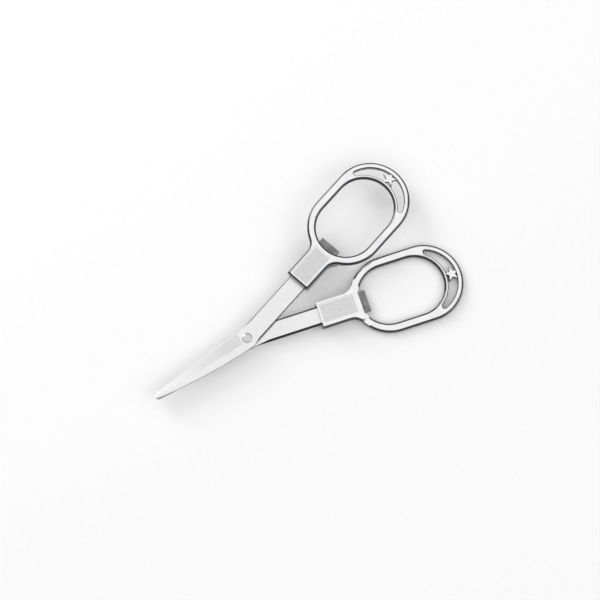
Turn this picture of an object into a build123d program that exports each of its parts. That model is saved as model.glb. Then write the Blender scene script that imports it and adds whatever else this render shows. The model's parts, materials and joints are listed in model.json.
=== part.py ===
"""Folding thread snips: two riveted blades whose finger bows fold back over them.

Millimetres, +Z up. The origin is at the middle of the underside of the unfolded, closed snips.
The handles point to +X and the blade tips to -X.
The front half is the upper one. The back half is the same shape turned over about X.
"""

import os
from math import asin, cos, hypot, radians, sin, sqrt

from build123d import *

os.makedirs("parts", exist_ok=True)

# ---- driving dimensions ----
handle_angle = 15.15  # each handle to the centre line, with the blades closed
blade_length = 36.2  # pivot to tip
pin_reach = 28.9  # pivot to fold pin

# heights above the plane where the blades meet, for either half
blade_gap = 0.02
blade_thick = 1.1
plate_low = 1.22  # inner face of the neck's main plate
ring_low = 1.7
ring_high = 3.9
cover_high = -0.1  # inner face of the neck's cover plate
cover_low = -1.0

# outline of the blade, as points along and across it from the pivot
heel = (0.6, -3.45)
spine_points = ((-8.5, -3.45), (-16.8, -3.05), (-24.5, -2.3), (-31.6, -1.45))
spine_end = (-35.4, -0.7)
tip_side = 0.15  # how far the tip lies to the cutting side
edge_end = (-35.4, 1.0)
edge_points = ((-31.6, 1.45), (-24.5, 2.05), (-16.8, 2.65), (-10.0, 3.0))
shoulder = (-3.0, 3.15)

# tang, measured from the pivot along the handle
tang_half = 3.25
tang_outer_start = 2.0
tang_inner_start = 1.0
tang_chamfer = 0.3
contact_chamfer = 0.7  # on the edges of the face that lies against the other blade
chamfer_reach = 12.0  # edges with their middles beyond this are the tang's

# grinding of the blade's outer face: its two limits across the blade, near the pivot and past the tip
edge_thick = 0.25  # left on the cutting edge, near the pivot
grind_start = 2.4
grind_bevel_start = -1.0
grind_edge_start = 3.3
grind_overrun = 1.0
grind_bevel_end = 0.0
grind_edge_end = 0.95
tip_drop = 0.3  # taken off the thickness past the tip
overcut = 2.0  # how far the grinding cut runs clear of the metal

# neck, measured from the pivot along the handle
mouth_reach = 25.4
neck_half = 4.4
neck_end = 40.0
neck_wall = 1.0
plate_end = 41.2  # the main plate runs on a little under the ring
plate_half = 8.4
flare_radius = 4.5
rim_inset = 0.15  # how far the neck's plates stop inside the ring's walls
flare_half = 6.0
panel_near = 25.9
panel_far = 38.5
panel_half = 3.45
panel_depth = 0.15

# finger bow
ring_near = 50.5  # centres of the outer rim's two end arcs
ring_far = 62.9
ring_radius = 13.3
hole_near = 50.1  # centres of the finger hole's two end arcs
hole_far = 59.5
hole_radius = 10.1
ring_round = 0.85
window_radius = 11.4
window_start = 66.0
window_round = 0.7
window_chamfer = 0.22
star_reach = 72.8
star_radius = 3.0
star_waist = 1.25
star_inset = 0.25  # how far the star lies below the ring's two faces
star_draft = 14  # slope of the star's sides, degrees

# rivets and pins
rivet_radius = 1.25
rivet_head_radius = 1.75
rivet_head_height = 0.4
washer_radius = 1.85
washer_thick = 0.12
tail_radius = 1.6
tail_height = 0.3
pin_radius = 1.0
pin_skin = 0.55  # metal left over a blind pin's end
running_clearance = 0.05

# detent spring
leaf_thick = 0.35
leaf_half = 2.2
leaf_start = 30.3
tab_start = 40.0
tab_end = 42.7
tab_half = 3.85
leaf_room = 0.1
leaf_sunk = 0.03  # below the inner face of the neck's main plate
leaf_nose_round = 1.0
tab_round = 0.3
bump_reach = 2.1  # from the fold pin
bump_radius = 0.45
bump_height = 0.18
bump_slope = 30  # degrees
track_depth = 0.14
track_half = 0.5
leaf_rivet_reach = 36.4
leaf_rivet_radius = 0.8
leaf_rivet_depth = 1.0

# ---- places worked out from these ----
handle_cos = cos(radians(handle_angle))
handle_sin = sin(radians(handle_angle))
# each flare is an arc that runs from the neck's side into the ring's outline
flare_start = ring_near - sqrt((ring_radius + flare_radius) ** 2 - (neck_half + flare_radius) ** 2)
flare_share = flare_radius / (ring_radius + flare_radius)
flare_join = flare_start + (ring_near - flare_start) * flare_share
flare_join_half = (neck_half + flare_radius) * (1 - flare_share)
leaf_seat = plate_low + leaf_thick + leaf_sunk
blade_top = blade_gap + blade_thick
far_end = ring_far * handle_cos + ring_radius
pivot_x = (blade_length - far_end) / 2
pivot = (pivot_x, 0, ring_high)

# In each frame +X runs to the handles, +Y to that half's outer side and +Z away from the other blade.
front_blade_frame = Plane(origin=pivot, x_dir=(1, 0, 0), z_dir=(0, 0, 1))
back_blade_frame = Plane(origin=pivot, x_dir=(1, 0, 0), z_dir=(0, 0, -1))
front_bow_frame = Plane(origin=pivot, x_dir=(handle_cos, handle_sin, 0), z_dir=(0, 0, 1))
back_bow_frame = Plane(origin=pivot, x_dir=(handle_cos, -handle_sin, 0), z_dir=(0, 0, -1))


def on_tang(along, across):
    """A point of the blade's frame, given along and across the tang."""
    return (along * handle_cos - across * handle_sin, along * handle_sin + across * handle_cos)


def grind_section(frame, reach, bevel_side, edge_side, edge_high):
    """The slice taken off a blade by grinding, across it at one distance from the pivot."""
    across = Plane(origin=frame.from_local_coords((-reach, 0, 0)), x_dir=frame.y_dir, z_dir=-frame.x_dir)
    rise = frame.z_dir.dot(across.y_dir)
    low = rise * edge_high
    top = rise * blade_top
    over = rise * (blade_top + overcut)
    with BuildSketch(across) as section:
        with BuildLine():
            Polyline(
                (bevel_side, top),
                (edge_side, low),
                (edge_side + overcut, low),
                (edge_side + overcut, over),
                (bevel_side, over),
                close=True,
            )
        make_face()
    return section.sketch


def is_on_contact_face(frame, edge):
    """Whether an edge lies in the face that meets the other blade."""
    return frame.to_local_coords(edge.center()).Z < blade_gap + blade_thick / 2


def make_blade(frame, rivet_hole):
    """One blade with its tang: stamping, chamfers, grinding, holes and the spring's track."""
    outward = Axis(frame.origin, frame.z_dir)
    with BuildPart() as blade:
        with BuildSketch(frame.offset(blade_gap)):
            with BuildLine():
                Spline(heel, *spine_points, spine_end)
                ThreePointArc(spine_end, (-blade_length, tip_side), edge_end)
                Spline(edge_end, *edge_points, shoulder)
                Line(shoulder, on_tang(tang_outer_start, tang_half))
                Line(on_tang(tang_outer_start, tang_half), on_tang(pin_reach, tang_half))
                ThreePointArc(
                    on_tang(pin_reach, tang_half),
                    on_tang(pin_reach + tang_half, 0),
                    on_tang(pin_reach, -tang_half),
                )
                Line(on_tang(pin_reach, -tang_half), on_tang(tang_inner_start, -tang_half))
                Line(on_tang(tang_inner_start, -tang_half), heel)
            make_face()
        extrude(amount=blade_thick)
        flat_faces = blade.faces().filter_by(outward)
        tang_edges = flat_faces.edges().filter_by(lambda edge: edge.center().X > pivot_x + chamfer_reach)
        inner_edges = tang_edges.filter_by(lambda edge: is_on_contact_face(frame, edge))
        chamfer(tang_edges - inner_edges, tang_chamfer)
        chamfer(inner_edges, contact_chamfer)
        add(grind_section(frame, grind_start, grind_bevel_start, grind_edge_start, blade_gap + edge_thick))
        grind_end = blade_length + grind_overrun
        add(grind_section(frame, grind_end, grind_bevel_end, grind_edge_end, blade_top - tip_drop))
        loft(ruled=True, mode=Mode.SUBTRACT)
        with BuildSketch(frame):
            Circle(rivet_hole)
            with Locations(on_tang(pin_reach, 0)):
                Circle(pin_radius + running_clearance)
        extrude(amount=plate_low, mode=Mode.SUBTRACT)
        with BuildSketch(frame.offset(blade_top)):
            with Locations(on_tang(pin_reach, 0)):
                Circle(bump_reach + track_half)
                Circle(bump_reach - track_half, mode=Mode.SUBTRACT)
        extrude(amount=-track_depth, mode=Mode.SUBTRACT)
    return blade.part


def make_bow(frame, star_side, pin_low, pin_high):
    """One finger bow with its neck, whose channel is open on the outer side and at both ends."""
    outward = Axis(frame.origin, frame.z_dir)
    rim_middle = (ring_near + ring_far) / 2
    hole_middle = (hole_near + hole_far) / 2
    with BuildSketch() as plan:
        with Locations(((flare_start + flare_join) / 2, 0)):
            Rectangle(flare_join - flare_start, 2 * flare_join_half)
        with Locations((flare_start, neck_half + flare_radius), (flare_start, -neck_half - flare_radius)):
            Circle(flare_radius, mode=Mode.SUBTRACT)
        with Locations((rim_middle, 0)):
            SlotCenterToCenter(ring_far - ring_near, 2 * ring_radius)
        with Locations(((mouth_reach + rim_middle) / 2, 0)):
            Rectangle(rim_middle - mouth_reach, 2 * neck_half)
    with BuildSketch() as neck_plan:
        add(plan.sketch)
        offset(amount=-rim_inset)
        with Locations(((mouth_reach + plate_end) / 2, 0)):
            Rectangle(plate_end - mouth_reach, 2 * plate_half, mode=Mode.INTERSECT)
        with Locations((hole_middle, 0)):
            SlotCenterToCenter(hole_far - hole_near, 2 * (hole_radius + rim_inset), mode=Mode.SUBTRACT)
    with BuildSketch() as cover_plan:
        add(plan.sketch)
        offset(amount=-rim_inset)
        with Locations(((mouth_reach + neck_end) / 2, 0)):
            Rectangle(neck_end - mouth_reach, 2 * flare_half, mode=Mode.INTERSECT)
    with BuildSketch() as wall_plan:
        add(cover_plan.sketch)
        with Locations((neck_end, -neck_half + neck_wall + ring_radius)):
            Rectangle(2 * ring_far, 2 * ring_radius, mode=Mode.SUBTRACT)

    with BuildPart() as bow:
        # ring and neck, as one rounded outline
        with BuildSketch(frame.offset(ring_low)):
            add(plan.sketch)
            with Locations((hole_middle, 0)):
                SlotCenterToCenter(hole_far - hole_near, 2 * hole_radius, mode=Mode.SUBTRACT)
        extrude(amount=ring_high - ring_low)
        fillet(bow.faces().filter_by(outward).edges(), ring_round)

        # the channel: main plate, inner side wall and cover plate
        with BuildSketch(frame.offset(plate_low)):
            add(neck_plan.sketch)
        extrude(amount=ring_low + ring_round - plate_low)
        with BuildSketch(frame.offset(cover_high)):
            add(wall_plan.sketch)
        extrude(amount=plate_low - cover_high)
        with BuildSketch(frame.offset(cover_low)):
            add(cover_plan.sketch)
        extrude(amount=cover_high - cover_low)

        # panels pressed into both faces of the neck
        for face_height, into in ((ring_high, -panel_depth), (cover_low, panel_depth)):
            with BuildSketch(frame.offset(face_height)):
                with Locations(((panel_near + panel_far) / 2, 0)):
                    Rectangle(panel_far - panel_near, 2 * panel_half)
            extrude(amount=into, mode=Mode.SUBTRACT)

        # seat for the detent spring, in the main plate's inner face
        with BuildSketch(frame.offset(plate_low - leaf_room)):
            with Locations(((leaf_start + tab_end) / 2, 0)):
                Rectangle(tab_end - leaf_start + 2 * leaf_room, 2 * (leaf_half + leaf_room))
            with Locations(((tab_start + tab_end) / 2, 0)):
                Rectangle(tab_end - tab_start + 2 * leaf_room, 2 * (tab_half + leaf_room))
        extrude(amount=leaf_thick + 2 * leaf_room, mode=Mode.SUBTRACT)

        # holes for the fold pin and the spring's rivet
        with BuildSketch(frame.offset(pin_low)):
            with Locations((pin_reach, 0)):
                Circle(pin_radius)
        extrude(amount=pin_high - pin_low, mode=Mode.SUBTRACT)
        with BuildSketch(frame.offset(plate_low)):
            with Locations((leaf_rivet_reach, 0)):
                Circle(leaf_rivet_radius)
        extrude(amount=leaf_seat - plate_low + leaf_rivet_depth, mode=Mode.SUBTRACT)

        # the crescent window in the far rim, and the star that stands in it
        with BuildSketch(frame.offset(ring_low)) as window:
            with Locations((ring_far, 0)):
                Circle(window_radius)
            with Locations((hole_far, 0)):
                Circle(window_radius, mode=Mode.SUBTRACT)
            with Locations((window_start + window_radius, 0)):
                Rectangle(2 * window_radius, 4 * window_radius, mode=Mode.INTERSECT)
            fillet(window.vertices(), window_round)
        extrude(amount=ring_high - ring_low, mode=Mode.SUBTRACT)
        face_edges = bow.faces().filter_by(outward).edges()
        chamfer(face_edges.filter_by(lambda edge: is_on_window(frame, edge)), window_chamfer)
        with BuildSketch(frame.offset((ring_low + ring_high) / 2)):
            with BuildLine():
                Polyline(*[star_corner(number, star_side) for number in range(10)], close=True)
            make_face()
        extrude(amount=(ring_high - ring_low) / 2 - star_inset, both=True, taper=star_draft)
    return bow.part


def is_on_window(frame, edge):
    """Whether an edge belongs to the crescent window's outline."""
    spot = frame.to_local_coords(edge @ 0.5)
    slack = 0.05
    in_outer_arc = hypot(spot.X - ring_far, spot.Y) < window_radius + slack
    past_inner_arc = hypot(spot.X - hole_far, spot.Y) > window_radius - slack
    return spot.X > window_start - slack and in_outer_arc and past_inner_arc


def star_corner(number, side):
    """One of the star's ten corners, every second one at its waist."""
    radius = star_waist if number % 2 else star_radius
    turn = radians(90 * side + 36 * number)
    return (star_reach + radius * cos(turn), radius * sin(turn))


def make_fold_pin(frame, pin_low, pin_high):
    with BuildPart() as pin:
        with BuildSketch(frame.offset(pin_low)):
            with Locations((pin_reach, 0)):
                Circle(pin_radius)
        extrude(amount=pin_high - pin_low)
    return pin.part


def make_detent_spring(frame):
    """A flat leaf with a wide tab in the finger hole and a bump that rides in the tang's track."""
    with BuildPart() as leaf:
        with BuildSketch(frame.offset(leaf_seat - leaf_thick)) as plan:
            with Locations(((leaf_start + tab_end) / 2, 0)):
                Rectangle(tab_end - leaf_start, 2 * leaf_half)
            with Locations(((tab_start + tab_end) / 2, 0)):
                Rectangle(tab_end - tab_start, 2 * tab_half)
            fillet(plan.vertices().group_by(Axis.X)[0], leaf_nose_round)
            fillet(plan.vertices().group_by(Axis.X)[-1], tab_round)
        extrude(amount=leaf_thick)
        with BuildSketch(frame.offset(leaf_seat - leaf_thick)):
            with Locations((leaf_rivet_reach, 0)):
                Circle(leaf_rivet_radius)
        extrude(amount=leaf_thick, mode=Mode.SUBTRACT)
        with BuildSketch(frame.offset(leaf_seat - leaf_thick)):
            with Locations((pin_reach + bump_reach, 0)):
                Circle(bump_radius)
        extrude(amount=-bump_height, taper=bump_slope)
    return leaf.part


def make_leaf_rivet(frame):
    with BuildPart() as rivet:
        with BuildSketch(frame.offset(leaf_seat - leaf_thick)):
            with Locations((leaf_rivet_reach, 0)):
                Circle(leaf_rivet_radius)
        extrude(amount=leaf_thick + leaf_rivet_depth)
    return rivet.part


def dome_middle(radius, height):
    """Half way along a dome's profile: the distance from its axis and the height over its base."""
    sphere = (radius**2 + height**2) / (2 * height)
    half_turn = asin(radius / sphere) / 2
    return (sphere * sin(half_turn), height - sphere * (1 - cos(half_turn)))


def save(piece, name):
    piece.label = name
    export_step(piece, f"parts/{name}.step")


# ---- blades and their rivet ----
with BuildPart() as blade_front:
    add(make_blade(front_blade_frame, rivet_radius + running_clearance))
save(blade_front.part, "blade_front")

with BuildPart() as blade_back:
    add(make_blade(back_blade_frame, rivet_radius))
save(blade_back.part, "blade_back")

head_low = blade_top + blade_gap
tail_high = -blade_top - washer_thick
with BuildPart() as pivot_rivet:
    with BuildSketch(Plane(origin=pivot, x_dir=(1, 0, 0), z_dir=(0, -1, 0))):
        with BuildLine():
            Line((0, tail_high - tail_height), (0, head_low + rivet_head_height))
            head_middle = dome_middle(rivet_head_radius, rivet_head_height)
            ThreePointArc(
                (0, head_low + rivet_head_height),
                (head_middle[0], head_low + head_middle[1]),
                (rivet_head_radius, head_low),
            )
            Polyline(
                (rivet_head_radius, head_low),
                (rivet_radius, head_low),
                (rivet_radius, tail_high),
                (tail_radius, tail_high),
            )
            tail_middle = dome_middle(tail_radius, tail_height)
            ThreePointArc(
                (tail_radius, tail_high),
                (tail_middle[0], tail_high - tail_middle[1]),
                (0, tail_high - tail_height),
            )
        make_face()
    revolve(axis=Axis(pivot, (0, 0, 1)))
save(pivot_rivet.part, "pivot_rivet")

with BuildPart() as pivot_washer:
    with BuildSketch(front_blade_frame.offset(tail_high)):
        Circle(washer_radius)
        Circle(rivet_radius, mode=Mode.SUBTRACT)
    extrude(amount=washer_thick)
save(pivot_washer.part, "pivot_washer")

# ---- bows, fold pins and detent springs ----
# Each pin is driven in from that side of its handle that faces down, and ends blind under the upper one.
for name, frame, star_side, pin_low, pin_high in (
    ("front", front_bow_frame, 1, cover_low, ring_high - pin_skin),
    ("back", back_bow_frame, -1, cover_low + pin_skin, ring_high),
):
    save(make_bow(frame, star_side, pin_low, pin_high), f"bow_{name}")
    save(make_fold_pin(frame, pin_low, pin_high), f"fold_pin_{name}")
    save(make_detent_spring(frame), f"detent_spring_{name}")
    save(make_leaf_rivet(frame), f"spring_rivet_{name}")
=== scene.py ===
"""Folding thread snips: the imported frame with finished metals, knurled panels and a studio."""

import json
from math import cos, radians, sin

import bmesh
import bpy
from mathutils import Matrix, Vector


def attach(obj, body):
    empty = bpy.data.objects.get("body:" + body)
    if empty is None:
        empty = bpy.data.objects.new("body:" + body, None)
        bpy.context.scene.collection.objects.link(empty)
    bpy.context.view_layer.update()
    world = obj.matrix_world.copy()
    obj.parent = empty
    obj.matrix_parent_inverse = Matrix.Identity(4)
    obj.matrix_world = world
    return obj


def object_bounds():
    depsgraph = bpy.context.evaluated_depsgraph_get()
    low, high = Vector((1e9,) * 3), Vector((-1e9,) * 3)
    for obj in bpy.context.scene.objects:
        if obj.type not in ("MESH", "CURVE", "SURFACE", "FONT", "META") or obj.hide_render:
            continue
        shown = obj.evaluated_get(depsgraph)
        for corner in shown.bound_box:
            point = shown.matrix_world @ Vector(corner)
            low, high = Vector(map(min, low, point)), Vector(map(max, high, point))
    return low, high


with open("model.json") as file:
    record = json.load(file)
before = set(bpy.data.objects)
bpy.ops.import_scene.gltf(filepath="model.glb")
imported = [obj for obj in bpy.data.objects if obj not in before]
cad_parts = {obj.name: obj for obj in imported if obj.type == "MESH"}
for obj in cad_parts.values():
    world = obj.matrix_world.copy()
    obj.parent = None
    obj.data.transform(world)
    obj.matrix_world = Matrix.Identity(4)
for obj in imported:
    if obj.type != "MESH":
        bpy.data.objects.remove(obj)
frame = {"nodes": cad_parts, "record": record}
cad_box = [list(corner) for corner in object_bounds()]

MM = 0.001
UP = Vector((0, 0, 1))

# ---- places from the frame ----
JOINTS = {joint["name"]: joint for joint in frame["record"]["behaviour"]["joints"]}
PIVOT = Vector(JOINTS["blade_pivot"]["pos_m"])
PINS = {side: Vector(JOINTS[f"fold_{side}"]["pos_m"]) for side in ("front", "back")}

# ---- camera ----
LENS = 100.0
SENSOR = 36.0
VIEW_WIDTH = 201.8 * MM  # what the image spans at the snips
VIEW_TILT = radians(13)  # how far the camera leans from straight overhead
HANDLES_TURN = radians(33.5)  # the centre line, counter-clockwise from the image's right
AIM = PIVOT + Vector((22.06, 1.34, 0)) * MM

# ---- knurled panels, measured from the fold pin along the handle ----
PANEL_NEAR = -2.95 * MM
PANEL_FAR = 9.55 * MM
PANEL_HALF = 3.4 * MM
NECK_PLATE = 3.9 * MM  # from the plane where the blades meet to the outer face of the main plate
NECK_COVER = 1.0 * MM  # from the same plane to the outer face of the cover plate
POCKET_DEPTH = 0.15 * MM
PANEL_BASE = 0.02 * MM  # the knurl's grooves stand this far over the pocket's floor
PANEL_BURIED = 0.05 * MM  # how far the slab reaches below that floor
KNURL_STEP = 0.25 * MM
KNURL_WIDTH = 4  # steps across one diamond
KNURL_HEIGHT = 0.07 * MM

# ---- edges ----
EDGE_WEAR = 0.12 * MM  # radius within which an edge counts as worn

# ---- floor and lamps ----
FLOOR_GAP = 0.02 * MM
FLOOR_HALF = 1.5
WORLD_POWER = 1.05
# height of a direction, 0 at the horizon and 1 overhead, and how bright the world is there
WORLD_HORIZON = (0.0, 0.25)
WORLD_STOPS = ((0.12, 0.03), (0.42, 0.06), (0.58, 0.9))
WORLD_CEILING = (0.75, 1.0)
# direction from the snips, distance, size and power
KEY_LAMP = ((-0.28, 1.38, 0.62), 1.0, 0.6, 4.5)
FILL_LAMP = ((0.9, -1.2, 1.0), 1.2, 0.9, 2.5)


# ---------------------------------------------------------------- materials
class Nodes:
    """A short way to write a material's node tree."""

    def __init__(self, name):
        self.material = bpy.data.materials.new(name)
        self.material.use_nodes = True
        self.tree = self.material.node_tree
        self.shader = self.tree.nodes["Principled BSDF"]
        self.place = self.add("ShaderNodeTexCoord").outputs["Object"]

    def add(self, kind, inputs=None, **settings):
        node = self.tree.nodes.new(kind)
        for key, value in settings.items():
            setattr(node, key, value)
        for key, value in (inputs or {}).items():
            self.put(value, node.inputs[key])
        return node

    def put(self, value, socket):
        if isinstance(value, bpy.types.NodeSocket):
            self.tree.links.new(value, socket)
        else:
            socket.default_value = value

    def noise(self, stretch, scale, detail=3.0, turn=0.0):
        """Noise stretched along the object's axes; scale is in features per metre."""
        mapping = self.add(
            "ShaderNodeMapping",
            {"Vector": self.place, "Rotation": (0, 0, turn), "Scale": stretch},
        )
        return self.add(
            "ShaderNodeTexNoise",
            {"Vector": mapping.outputs["Vector"], "Scale": scale, "Detail": detail},
        ).outputs["Fac"]

    def span(self, value, low, high, from_low=0.3, from_high=0.7):
        """A value carried from one range to another and held at its ends. Most noise is 0.3 to 0.7."""
        limits = {"From Min": from_low, "From Max": from_high, "To Min": low, "To Max": high}
        return self.add("ShaderNodeMapRange", {"Value": value, **limits}).outputs["Result"]

    def mix(self, share, first, second):
        """The first colour at a share of 0 and the second at 1, through the node's colour sockets."""
        node = self.add("ShaderNodeMix", data_type="RGBA")
        self.put(share, node.inputs[0])
        self.put(first, node.inputs[6])
        self.put(second, node.inputs[7])
        return node.outputs[2]

    def bump(self, height, distance, strength, normal=None):
        inputs = {"Height": height, "Distance": distance, "Strength": strength}
        if normal is not None:
            inputs["Normal"] = normal
        return self.add("ShaderNodeBump", inputs).outputs["Normal"]

    def edges(self):
        """1 along edges, where handling has polished or worn the metal, and 0 elsewhere."""
        rounded = self.add("ShaderNodeBevel", {"Radius": EDGE_WEAR}, samples=4).outputs["Normal"]
        plain = self.add("ShaderNodeNewGeometry").outputs["Normal"]
        alike = self.add("ShaderNodeVectorMath", {0: rounded, 1: plain}, operation="DOT_PRODUCT")
        return self.span(alike.outputs["Value"], 1.0, 0.0, 0.86, 0.99)

    def tips(self):
        """1 on the knurl's tips and 0 in its grooves."""
        pointed = self.add("ShaderNodeNewGeometry").outputs["Pointiness"]
        return self.span(pointed, 0.0, 1.0, 0.44, 0.56)

    def flatness(self, normal):
        """How far a face looks up or down: 1 when level and 0 when upright."""
        facing = self.add("ShaderNodeNewGeometry").outputs[normal]
        rise = self.add("ShaderNodeSeparateXYZ", {0: facing}).outputs["Z"]
        return self.add("ShaderNodeMath", {0: rise}, operation="ABSOLUTE").outputs[0]

    def sides(self, level, steep):
        """Mask for painted dark reflections: 0 on level faces and 1 on steep ones, between the two
        flatnesses given.
        """
        return self.span(self.flatness("Normal"), 1.0, 0.0, steep, level)

    def set(self, **sockets):
        for key, value in sockets.items():
            self.put(value, self.shader.inputs[key.replace("_", " ")])
        return self.material


def bow_chrome():
    """Bright plating with painted dark reflections on steep faces, a faint orange peel, scratches and
    duller patches.
    """
    nodes = Nodes("bow_chrome")
    patches = nodes.noise((1, 1, 1), 260, 2.0)
    peel = nodes.noise((1, 1, 1), 1500, 2.0)
    scratches = nodes.noise((1, 14, 14), 900, 4.0, 0.5)
    crossing = nodes.noise((14, 1, 14), 800, 4.0, 0.2)
    tone = nodes.mix(nodes.span(patches, 0.0, 1.0), (0.80, 0.80, 0.81, 1), (0.88, 0.88, 0.885, 1))
    # Painted dark reflection: steep faces get a near-black colour, which draws dark outlines along the
    # plating's edges.
    tone = nodes.mix(nodes.sides(0.998, 0.94), tone, (0.09, 0.09, 0.094, 1))
    rough = nodes.span(patches, 0.07, 0.15)
    marks = nodes.add("ShaderNodeMath", {0: scratches, 1: crossing}, operation="MAXIMUM").outputs[0]
    duller = nodes.span(marks, 0.0, 0.08, 0.62, 0.75)
    rough = nodes.add("ShaderNodeMath", {0: rough, 1: duller}).outputs[0]
    normal = nodes.bump(peel, 0.02 * MM, 0.25)
    normal = nodes.bump(marks, 0.01 * MM, 0.25, normal)
    return nodes.set(Base_Color=tone, Metallic=1.0, Roughness=rough, Normal=normal)


def blade_steel():
    """Satin stainless: grain along the flats, cross grinding where the face slopes to the edge, and
    painted dark reflections on steep sides.
    """
    nodes = Nodes("blade_steel")
    ground = nodes.span(nodes.flatness("True Normal"), 1.0, 0.0, 0.990, 0.9995)
    along = nodes.noise((0.5, 30, 30), 700, 5.0)
    across = nodes.noise((30, 0.7, 30), 700, 5.0, 0.12)
    grain = nodes.add("ShaderNodeMix", {0: ground, 2: along, 3: across}).outputs[0]
    clouds = nodes.noise((1, 1, 1), 60, 1.0)
    tone = nodes.mix(nodes.span(grain, 0.0, 1.0), (0.72, 0.72, 0.725, 1), (0.84, 0.84, 0.845, 1))
    ground_tone = nodes.mix(nodes.span(grain, 0.0, 1.0), (0.50, 0.50, 0.505, 1), (0.66, 0.66, 0.665, 1))
    tone = nodes.mix(ground, tone, ground_tone)
    tone = nodes.mix(nodes.span(clouds, 0.0, 0.35), tone, (0.86, 0.86, 0.86, 1))
    tone = nodes.mix(nodes.edges(), tone, (0.90, 0.90, 0.90, 1))
    # Painted dark reflection: steep faces, such as the blade's sides, get a near-black colour.
    tone = nodes.mix(nodes.sides(0.88, 0.76), tone, (0.11, 0.11, 0.114, 1))
    rough = nodes.add(
        "ShaderNodeMath",
        {0: nodes.span(grain, 0.24, 0.40), 1: nodes.span(clouds, -0.03, 0.05)},
    ).outputs[0]
    normal = nodes.bump(grain, 0.015 * MM, 0.5)
    return nodes.set(Base_Color=tone, Metallic=1.0, Roughness=rough, Normal=normal)


def rivet_steel():
    """Rivets, pins and washer: fine grain, small pits and painted dark reflections on steep faces."""
    nodes = Nodes("rivet_steel")
    fine = nodes.noise((1, 1, 1), 3500, 3.0)
    pits = nodes.noise((1, 1, 1), 1700, 1.0)
    tone = nodes.mix(nodes.span(fine, 0.0, 1.0), (0.52, 0.52, 0.53, 1), (0.70, 0.70, 0.71, 1))
    # Painted dark reflection: steep faces get a near-black colour.
    tone = nodes.mix(nodes.sides(0.97, 0.86), tone, (0.12, 0.12, 0.125, 1))
    normal = nodes.bump(nodes.span(pits, 0.0, 1.0, 0.3, 0.42), 0.02 * MM, 0.4)
    normal = nodes.bump(fine, 0.01 * MM, 0.4, normal)
    return nodes.set(Base_Color=tone, Metallic=1.0, Roughness=nodes.span(fine, 0.18, 0.34), Normal=normal)


def spring_steel():
    """Tempered strip: dark grey with rolling lines and rubbed edges."""
    nodes = Nodes("spring_steel")
    rolled = nodes.noise((1, 20, 1), 900, 4.0)
    oxide = nodes.noise((1, 1, 1), 500, 3.0)
    tone = nodes.mix(nodes.span(oxide, 0.0, 1.0), (0.15, 0.15, 0.155, 1), (0.27, 0.268, 0.265, 1))
    tone = nodes.mix(nodes.edges(), tone, (0.50, 0.50, 0.50, 1))
    normal = nodes.bump(rolled, 0.01 * MM, 0.4)
    rough = nodes.span(rolled, 0.30, 0.48)
    return nodes.set(Base_Color=tone, Metallic=1.0, Roughness=rough, Normal=normal)


def knurl_chrome():
    """The panels' plating: painted shade darkens the grooves, with noise varying it, and the diamonds'
    tips keep the bright polished tone.
    """
    nodes = Nodes("knurl_chrome")
    dirt_and_shade_noise = nodes.noise((1, 1, 1), 900, 3.0)
    # Painted shade: the grooves get a dark grey, varied by noise, and the tips the bright plating.
    groove_painted_shade = nodes.mix(nodes.span(dirt_and_shade_noise, 0.0, 1.0), (0.29, 0.29, 0.295, 1), (0.42, 0.42, 0.425, 1))
    tone = nodes.mix(nodes.tips(), groove_painted_shade, (0.88, 0.88, 0.885, 1))
    normal = nodes.bump(dirt_and_shade_noise, 0.01 * MM, 0.3)
    return nodes.set(Base_Color=tone, Metallic=1.0, Roughness=nodes.span(dirt_and_shade_noise, 0.28, 0.42), Normal=normal)


def floor_paper():
    """Matt white paper with faint fibres."""
    nodes = Nodes("floor_paper")
    fibres = nodes.noise((1, 1, 1), 700, 4.0)
    tone = nodes.mix(nodes.span(fibres, 0.0, 1.0), (0.93, 0.93, 0.93, 1), (0.95, 0.95, 0.95, 1))
    return nodes.set(Base_Color=tone, Roughness=nodes.span(fibres, 0.75, 0.85))


# ---------------------------------------------------------------- pieces
def knurl_height(row, column):
    """Height of a diamond pyramid pattern at a grid corner, from 0 in a groove to 1 on a tip."""
    half = KNURL_WIDTH // 2
    first = abs((row + column) % KNURL_WIDTH - half) / half
    second = abs((row - column) % KNURL_WIDTH - half) / half
    return min(first, second)


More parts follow.
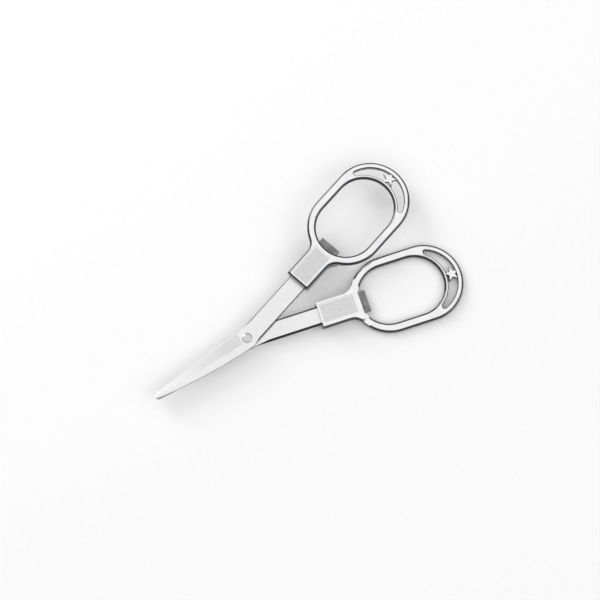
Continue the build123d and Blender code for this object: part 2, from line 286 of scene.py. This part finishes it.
def knurled_panel(name, pin, along, face, floor_height, metal):
    """A slab of small pyramids that stands in the neck's pocket; face is +1 on top, -1 underneath."""
    columns = round((PANEL_FAR - PANEL_NEAR) / KNURL_STEP)
    rows = round(2 * PANEL_HALF / KNURL_STEP)
    across = UP.cross(along)
    base = Vector((pin.x, pin.y, PIVOT.z + face * floor_height))
    mesh = bmesh.new()
    top = []
    bottom = []
    for row in range(rows + 1):
        for column in range(columns + 1):
            reach = PANEL_NEAR + (PANEL_FAR - PANEL_NEAR) * column / columns
            side = -PANEL_HALF + 2 * PANEL_HALF * row / rows
            rim = row in (0, rows) or column in (0, columns)
            height = 0.0 if rim else KNURL_HEIGHT * knurl_height(row, column)
            spot = base + along * reach + across * side
            top.append(mesh.verts.new(spot + UP * face * (height + PANEL_BASE)))
            bottom.append(mesh.verts.new(spot - UP * face * PANEL_BURIED))
    width = columns + 1

    def skin(corners, flip):
        for row in range(rows):
            for column in range(columns):
                at = row * width + column
                quad = [corners[at], corners[at + 1], corners[at + 1 + width], corners[at + width]]
                mesh.faces.new(quad[::-1] if flip else quad)

    skin(top, face < 0)
    skin(bottom, face > 0)
    edge = list(range(columns))
    edge += [row * width + columns for row in range(rows)]
    edge += [rows * width + columns - column for column in range(columns)]
    edge += [(rows - row) * width for row in range(rows)]
    for start, end in zip(edge, edge[1:] + edge[:1]):
        mesh.faces.new([bottom[start], bottom[end], top[end], top[start]])
    bmesh.ops.recalc_face_normals(mesh, faces=mesh.faces)
    data = bpy.data.meshes.new(name)
    mesh.to_mesh(data)
    mesh.free()
    data.materials.append(metal)
    panel = bpy.data.objects.new(name, data)
    bpy.context.collection.objects.link(panel)
    return panel


def finish_nodes(metals):
    """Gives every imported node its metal."""
    slots = {entry["node"]: entry["material_slot"] for entry in frame["record"]["subparts"]}
    for node, slot in slots.items():
        thing = frame["nodes"][node]
        thing.data.materials.clear()
        thing.data.materials.append(metals[slot])


def make_panels(metal):
    heights = {"front": (NECK_PLATE, NECK_COVER), "back": (NECK_COVER, NECK_PLATE)}
    for side, (above, below) in heights.items():
        along = (PINS[side] - PIVOT).normalized()
        for face, height, place in ((1, above, "top"), (-1, below, "under")):
            panel = knurled_panel(
                f"knurl_{side}_{place}", PINS[side], along, face, height - POCKET_DEPTH, metal
            )
            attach(panel, f"{side}_bow")


# ---------------------------------------------------------------- studio
def make_floor():
    mesh = bmesh.new()
    bmesh.ops.create_grid(mesh, x_segments=8, y_segments=8, size=FLOOR_HALF)
    data = bpy.data.meshes.new("floor")
    mesh.to_mesh(data)
    mesh.free()
    data.materials.append(floor_paper())
    floor = bpy.data.objects.new("floor", data)
    floor.location.z = cad_box[0][2] - FLOOR_GAP
    bpy.context.collection.objects.link(floor)


def make_camera():
    right = Vector((cos(HANDLES_TURN), -sin(HANDLES_TURN), 0))
    image_up = Vector((sin(HANDLES_TURN), cos(HANDLES_TURN), 0))
    back = UP * cos(VIEW_TILT) - image_up * sin(VIEW_TILT)
    data = bpy.data.cameras.new("camera")
    data.lens = LENS
    data.sensor_width = SENSOR
    camera = bpy.data.objects.new("camera", data)
    turn = Matrix((right, back.cross(right), back)).transposed().to_4x4()
    place = AIM + back * (VIEW_WIDTH * LENS / SENSOR)
    camera.matrix_world = Matrix.Translation(place) @ turn
    bpy.context.collection.objects.link(camera)
    bpy.context.scene.camera = camera


def make_world():
    """A white ceiling over a dark band above the horizon, so polished edges show dark lines."""
    world = bpy.data.worlds.new("studio")
    world.use_nodes = True
    tree = world.node_tree
    background = tree.nodes["Background"]
    place = tree.nodes.new("ShaderNodeTexCoord")
    split = tree.nodes.new("ShaderNodeSeparateXYZ")
    ramp = tree.nodes.new("ShaderNodeValToRGB")
    tree.links.new(place.outputs["Generated"], split.inputs[0])
    tree.links.new(split.outputs["Z"], ramp.inputs[0])
    tree.links.new(ramp.outputs[0], background.inputs[0])
    stops = ramp.color_ramp.elements
    for stop, (position, shade) in zip(list(stops), (WORLD_HORIZON, WORLD_CEILING)):
        stop.position = position
        stop.color = (shade, shade, shade, 1)
    for position, shade in WORLD_STOPS:
        stops.new(position).color = (shade, shade, shade, 1)
    background.inputs[1].default_value = WORLD_POWER
    bpy.context.scene.world = world


def make_light(name, direction, distance, size, power):
    data = bpy.data.lights.new(name, "AREA")
    data.shape = "DISK"
    data.size = size
    data.energy = power
    lamp = bpy.data.objects.new(name, data)
    aim = Vector(direction).normalized()
    lamp.location = AIM + aim * distance
    lamp.rotation_mode = "QUATERNION"
    lamp.rotation_quaternion = aim.to_track_quat("Z", "Y")
    bpy.context.collection.objects.link(lamp)


make_camera()
make_floor()
make_world()
make_light("key", *KEY_LAMP)
make_light("fill", *FILL_LAMP)
METALS = {
    "blade_steel": blade_steel(),
    "bow_chrome": bow_chrome(),
    "rivet_steel": rivet_steel(),
    "spring_steel": spring_steel(),
}
finish_nodes(METALS)
make_panels(knurl_chrome())
bpy.context.scene.view_settings.view_transform = "Standard"
